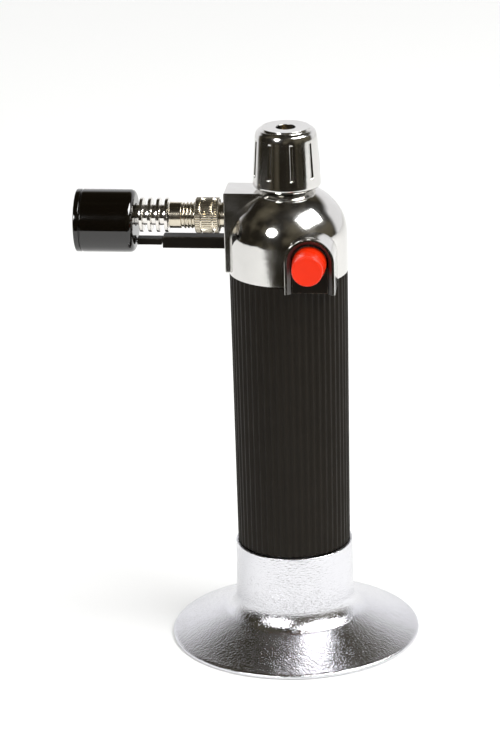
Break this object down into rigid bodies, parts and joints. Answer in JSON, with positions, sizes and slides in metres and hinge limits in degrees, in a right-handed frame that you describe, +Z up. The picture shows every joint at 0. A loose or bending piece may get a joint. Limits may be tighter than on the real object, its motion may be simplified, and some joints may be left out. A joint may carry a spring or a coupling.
{
  "type": "butane torch",
  "caption": "Hand-held butane micro torch on a flared chrome stand, with a ribbed grip, gas knob, piezo igniter button and a side burner with a black flame shade.",
  "frame": {"origin": "on the floor, under the middle of the object's box; the tank's axis stands at X = 12.05 mm, Y = 0", "axes": "+Z up along the tank, the flame leaves along -X, the igniter button faces -Y"},
  "size_m": [0.097, 0.0728, 0.154],
  "materials": {
    "chrome": "mirror chrome plating with faint casting ripple",
    "chrome_satin": "satin chrome with a fine orange-peel texture",
    "aluminium": "plain turned",
    "steel": "plain",
    "steel_bright": "bright turned",
    "brass": "turned",
    "brass_nickel": "bright nickel plated, warm tint",
    "rubber_black": "matte, ribbed on the grip",
    "plastic_black": "satin",
    "plastic_white": "satin",
    "plastic_red": "gloss, red-orange",
    "enamel_black": "gloss black enamel"
  },
  "bodies": {
    "stand": {"stand_bell": "chrome_satin", "stand_liner": "plastic_black"},
    "torch": {"fuel_tank": "aluminium", "tank_cap": "aluminium", "grip_sleeve": "rubber_black", "head_plate": "steel", "head_screw_left": "steel", "head_screw_right": "steel", "refill_valve_body": "brass", "refill_valve_seal": "rubber_black", "refill_valve_spring": "steel", "refill_valve_cap": "brass", "valve_body": "brass", "pickup_tube": "plastic_white", "pickup_filter": "brass", "needle_seal": "rubber_black", "valve_gland_nut": "brass", "head_shell": "chrome", "igniter_housing": "plastic_black", "piezo_body": "plastic_white", "button_spring": "steel", "lead_guard": "plastic_black", "electrode_arm": "plastic_black", "electrode_rod": "steel", "igniter_lead": "rubber_black", "jet_holder": "brass", "gas_jet": "brass", "mixing_tube": "brass_nickel", "tube_lock_nut": "brass", "finned_nozzle": "steel_bright", "flame_holder": "brass", "flame_shade": "enamel_black"},
    "gas_knob": {"gas_knob": "chrome", "knob_screw": "brass", "regulator_spindle": "brass"},
    "valve_needle": {"valve_needle": "steel"},
    "igniter_button": {"igniter_button": "plastic_red", "piezo_plunger": "steel"},
    "refill_stem": {"refill_valve_stem": "brass"},
    "air_shutter": {"air_shutter": "steel"},
    "air_collar": {"air_collar": "brass_nickel"}
  },
  "joints": [
    {"name": "stand_lift_off", "type": "slide", "parent": "stand", "child": "torch", "axis": [0, 0, 1], "range_m": [0, 0.03]},
    {"name": "gas_knob_turn", "type": "hinge", "parent": "torch", "child": "gas_knob", "pos_m": [0.01205, 0, 0.1368], "axis": [0, 0, 1], "range_deg": [0, 300]},
    {"name": "needle_lift", "type": "slide", "parent": "torch", "child": "valve_needle", "axis": [0, 0, 1], "range_m": [0, 0.0006]},
    {"name": "igniter_press", "type": "slide", "parent": "torch", "child": "igniter_button", "axis": [0, 1, 0], "range_m": [0, 0.0035], "stiffness_N_per_m": 500, "deforming": ["button_spring"]},
    {"name": "refill_stem_press", "type": "slide", "parent": "torch", "child": "refill_stem", "axis": [0, 0, 1], "range_m": [0, 0.0012], "stiffness_N_per_m": 300, "deforming": ["refill_valve_spring"]},
    {"name": "air_shutter_slide", "type": "slide", "parent": "torch", "child": "air_shutter", "axis": [-1, 0, 0], "range_m": [0, 0.003]},
    {"name": "air_collar_turn", "type": "hinge", "parent": "air_shutter", "child": "air_collar", "pos_m": [-0.0107, 0, 0.12765], "axis": [-1, 0, 0], "range_deg": [0, 1081]}
  ],
  "couplings": [
    {"joint": "needle_lift", "follows": "gas_knob_turn", "m_per_rad": 0.00011141},
    {"joint": "air_collar_turn", "follows": "air_shutter_slide", "rad_per_m": 6283.2}
  ]
}
